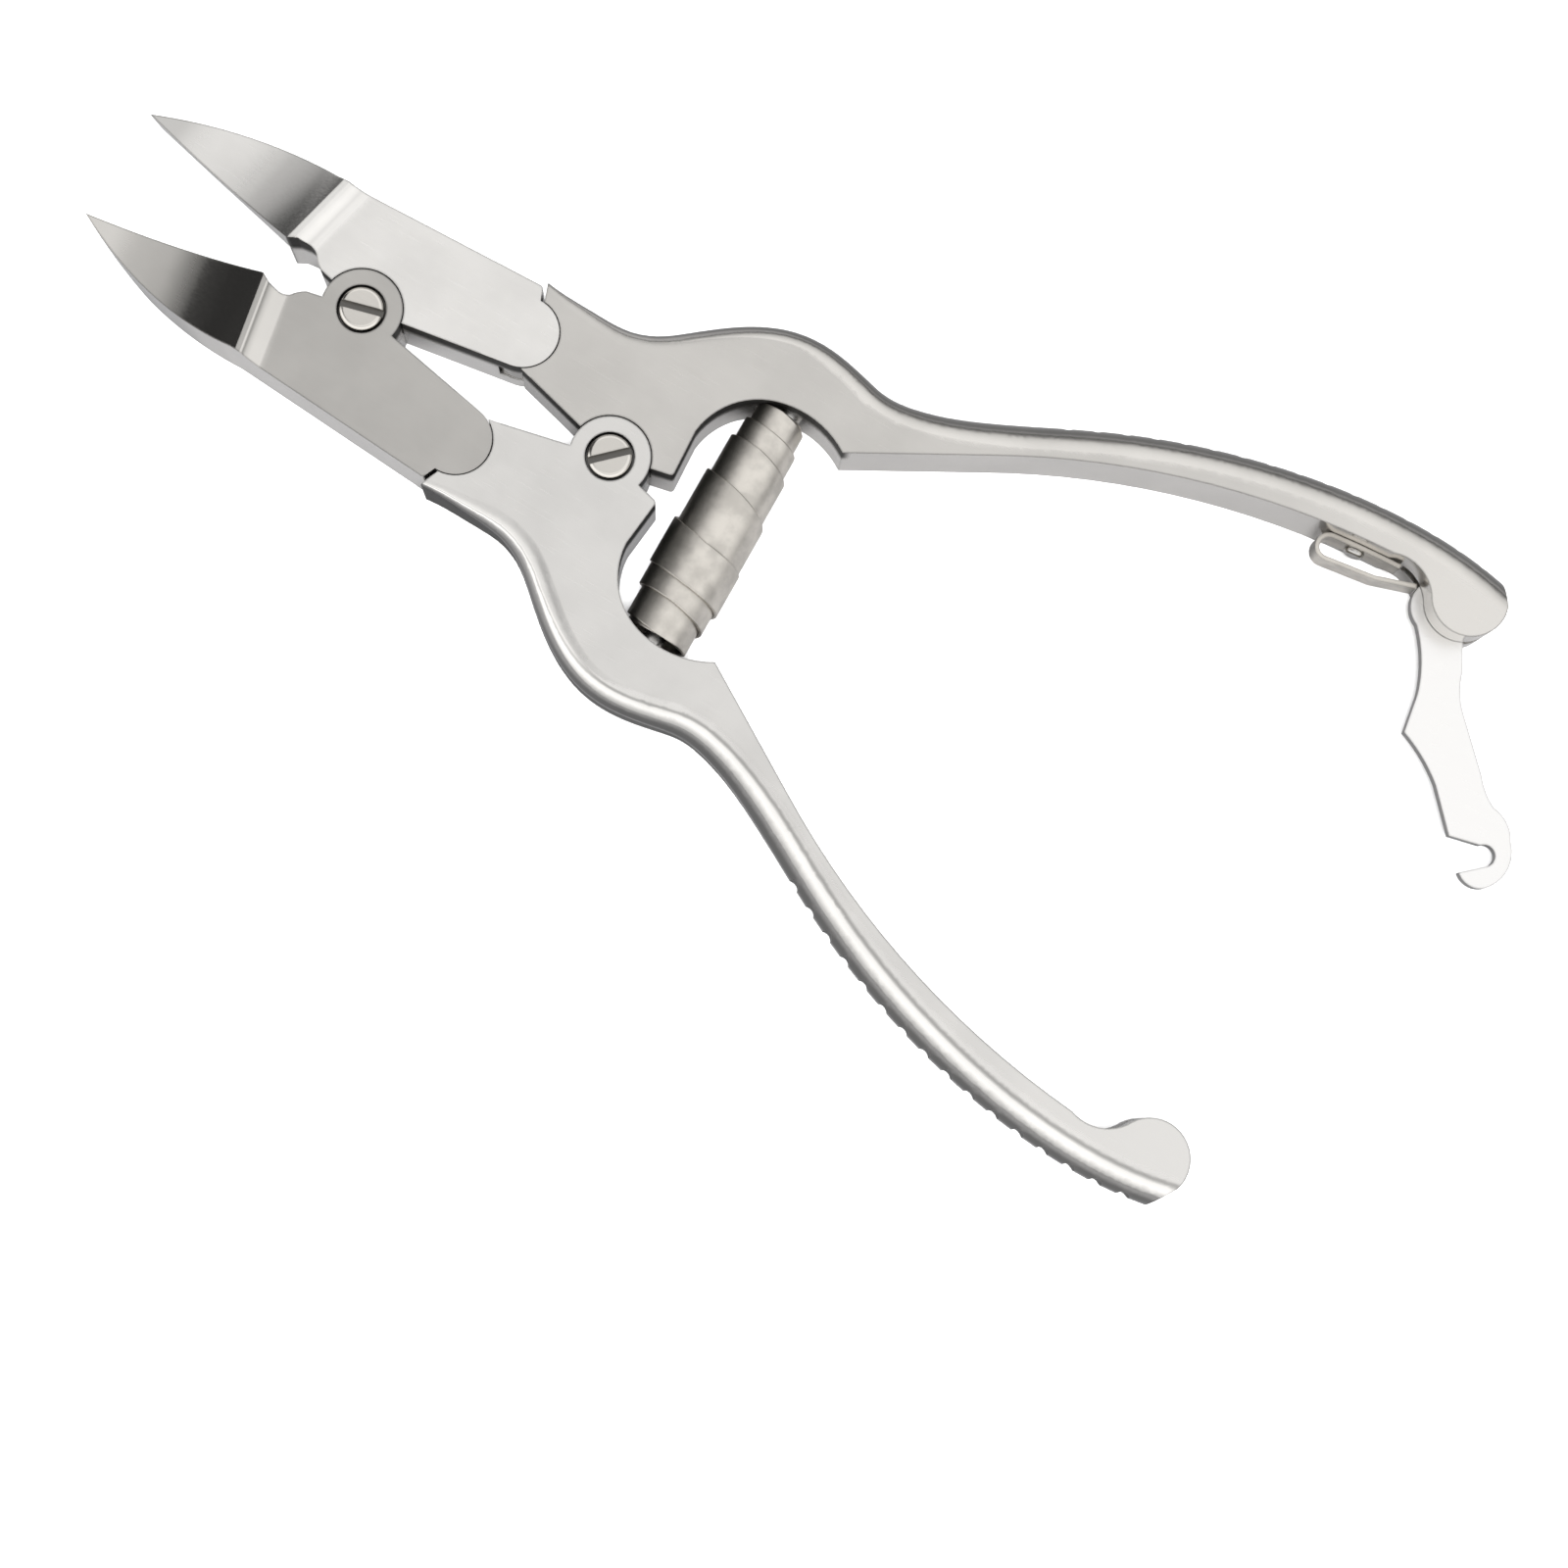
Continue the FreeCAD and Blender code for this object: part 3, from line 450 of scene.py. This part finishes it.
def add_area_light(name, place, aim, size, power):
    """A soft round light, not seen in mirroring faces."""
    data = bpy.data.lights.new(name, "AREA")
    data.shape = "DISK"
    data.size = size
    data.energy = power
    light = bpy.data.objects.new(name, data)
    light.location = place
    light.rotation_euler = (Vector(aim) - Vector(place)).to_track_quat("-Z", "Y").to_euler()
    light.visible_glossy = False
    bpy.context.scene.collection.objects.link(light)


def add_studio():
    """Soft light: a bright wall on the lower handle's side, a dimmer one on the other, and a
    dark card past the jaws."""
    world = bpy.data.worlds.new("studio")
    bpy.context.scene.world = world
    world.use_nodes = True
    tree = world.node_tree
    heading = tree.nodes.new("ShaderNodeTexCoord").outputs["Generated"]
    parts = tree.nodes.new("ShaderNodeSeparateXYZ")
    tree.links.new(heading, parts.inputs["Vector"])
    bright = ramp_of(tree, parts.outputs["Z"], BRIGHT_WALL)
    dim = ramp_of(tree, parts.outputs["Z"], DIM_WALL)
    walls = mix_of(tree, "MIX", range_of(tree, parts.outputs["Y"], *WALL_TURN), bright, dim)
    card = tree.nodes.new("ShaderNodeVectorMath")
    card.operation = "DOT_PRODUCT"
    tree.links.new(heading, card.inputs[0])
    card.inputs[1].default_value = CARD_HEADING
    shade = ramp_of(tree, card.outputs["Value"], CARD_SHADE)
    lit = mix_of(tree, "MULTIPLY", range_of(tree, parts.outputs["Y"], *CARD_RIM), walls, shade)
    seen = tree.nodes.new("ShaderNodeLightPath").outputs["Is Camera Ray"]
    background = tree.nodes["Background"]
    tree.links.new(mix_of(tree, "MIX", seen, lit, BACKDROP), background.inputs["Color"])
    background.inputs["Strength"].default_value = 1.0


def add_camera(place, aim, up, lens, sensor):
    """A camera that looks from one point at another, with `up` up in the picture."""
    data = bpy.data.cameras.new("camera")
    data.lens = lens
    data.sensor_width = sensor
    data.clip_start = 0.01
    camera = bpy.data.objects.new("camera", data)
    backward = (Vector(place) - Vector(aim)).normalized()
    right = Vector(up).cross(backward).normalized()
    turn = Matrix((right, backward.cross(right), backward)).transposed()
    camera.matrix_world = Matrix.Translation(place) @ turn.to_4x4()
    bpy.context.scene.collection.objects.link(camera)
    bpy.context.scene.camera = camera


add_camera(CAMERA_PLACE, CAMERA_AIM, CAMERA_UP, CAMERA_LENS, CAMERA_SENSOR)
add_floor(FLOOR_LEVEL, FLOOR_REACH)
add_studio()
add_area_light("overhead", LIGHT_PLACE, LIGHT_AIM, LIGHT_SIZE, LIGHT_POWER)


# ---- Finishes ----

def round_at(node, radius):
    """A round zone (x, y, radius) about the middle of a CAD node, in metres."""
    middle = middle_of(node)
    return middle.x, middle.y, radius


def on_side(rounds, side):
    """Round zones given for the upper side (1), as they are or mirrored for the lower one (-1)."""
    return [(x, side * y, radius) for x, y, radius in rounds]


JAW_SCREW = round_at("jaw_pivot_screw", 3.0 * MM)
HANDLE_SCREW = round_at("handle_pivot_screw", 3.0 * MM)
JAW_TAIL = [round_at("upper_link_pin", 5.1 * MM)]

# Where a jaw's walls carry painted shade, darker towards their top edge, and are rougher: at the
# pivot, in the gap behind it, and at the link.
JAW_SHADED_WALLS = [(-34.5 * MM, -0.4 * MM, 8.2 * MM), (-22.0 * MM, 1.1 * MM, 6.0 * MM),
           round_at("upper_link_pin", 4.7 * MM)]

# Where a handle's walls carry painted shade, darker towards their top edge, and are rougher: in the
# spring's pocket, at the pivot, and at the link.
HANDLE_SHADED_WALLS = [(13.2 * MM, 5.0 * MM, 12.2 * MM), (-3.5 * MM, 1.8 * MM, 10.2 * MM),
              round_at("upper_link_pin", 5.6 * MM)]

# Painted reflection on the handles' roundings, from upright (0) to level (1): painted highlights
# and painted dark bands that multiply their tone.
UPPER_PAINTED_BANDS = ((0.0, 0.95), (0.1, 0.7), (0.28, 0.25), (0.70, 0.25), (0.82, 0.6), (0.92, 0.92),
               (1.0, 1.0))
LOWER_PAINTED_BANDS = ((0.0, 0.9), (0.06, 0.4), (0.2, 0.12), (0.45, 0.2), (0.7, 0.5), (0.87, 1.0),
               (0.91, 1.0), (0.95, 0.62), (0.985, 0.9), (1.0, 1.0))

springs = steel("spring_steel", 0.66, 0.66, 0.36, 0.36, edge=0.12 * MM, warmth=0.05, line=0.5,
                mottle=(2.5 * MM, 0.14), shade_towards_minus_x=(-0.25, -0.95, 0.78))


def dress(material, *nodes):
    """Give CAD nodes a finish."""
    for node in nodes:
        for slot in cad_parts[node].material_slots:
            slot.material = material


dress(steel("upper_jaw_steel", 0.80, 0.85, 0.30, 0.10, tip=0.56, shaded_walls=on_side(JAW_SHADED_WALLS, 1),
            faint=on_side(JAW_TAIL, 1)), "upper_jaw")
dress(steel("lower_jaw_steel", 0.50, 0.70, 0.32, 0.10, warmth=0.03, tip=0.63,
            shaded_walls=on_side(JAW_SHADED_WALLS, -1), faint=on_side(JAW_TAIL, -1), sunk=[JAW_SCREW],
            shade_towards_minus_x=(-0.03, -0.13, 0.5)), "lower_jaw")
dress(steel("upper_handle_steel", 0.60, 0.74, 0.30, 0.16, warmth=0.03, line=0.85,
            bands=UPPER_PAINTED_BANDS, narrow=0.14, end=1.25, shaded_walls=on_side(HANDLE_SHADED_WALLS, 1),
            faint=on_side(JAW_TAIL, 1), outer=1), "upper_handle")
dress(steel("lower_handle_steel", 0.71, 0.85, 0.30, 0.10, line=0.85,
            bands=LOWER_PAINTED_BANDS, narrow=0.18, end=1.1, shaded_walls=on_side(HANDLE_SHADED_WALLS, -1),
            faint=on_side(JAW_TAIL, -1), sunk=[HANDLE_SCREW], outer=-1), "lower_handle")
dress(steel("screw_steel", 0.62, 0.75, 0.2, 0.16, edge=0.1 * MM, warmth=0.04, line=0.2,
            sunk=[HANDLE_SCREW, JAW_SCREW]), "jaw_pivot_screw", "handle_pivot_screw")
dress(steel("pin_steel", 0.6, 0.6, 0.25, 0.25, edge=0.05 * MM),
      "upper_link_pin", "lower_link_pin", "upper_spring_pin", "lower_spring_pin",
      "lock_pivot_pin", "catch_pin", "leaf_spring_rivet")
dress(steel("lever_steel", 0.97, 0.3, 0.3, 0.35, edge=0.12 * MM, warmth=0.01, line=0.6),
      "lock_lever")
dress(springs, "lock_leaf_spring")


# ---- Spring between the handles ----

strip = spring_strip("barrel_spring_strip", middle_of("barrel_spring") + STRIP_SHIFT)
strip.data.materials.append(springs)
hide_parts("barrel_spring")
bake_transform(strip)

bpy.context.scene.view_settings.view_transform = "Standard"
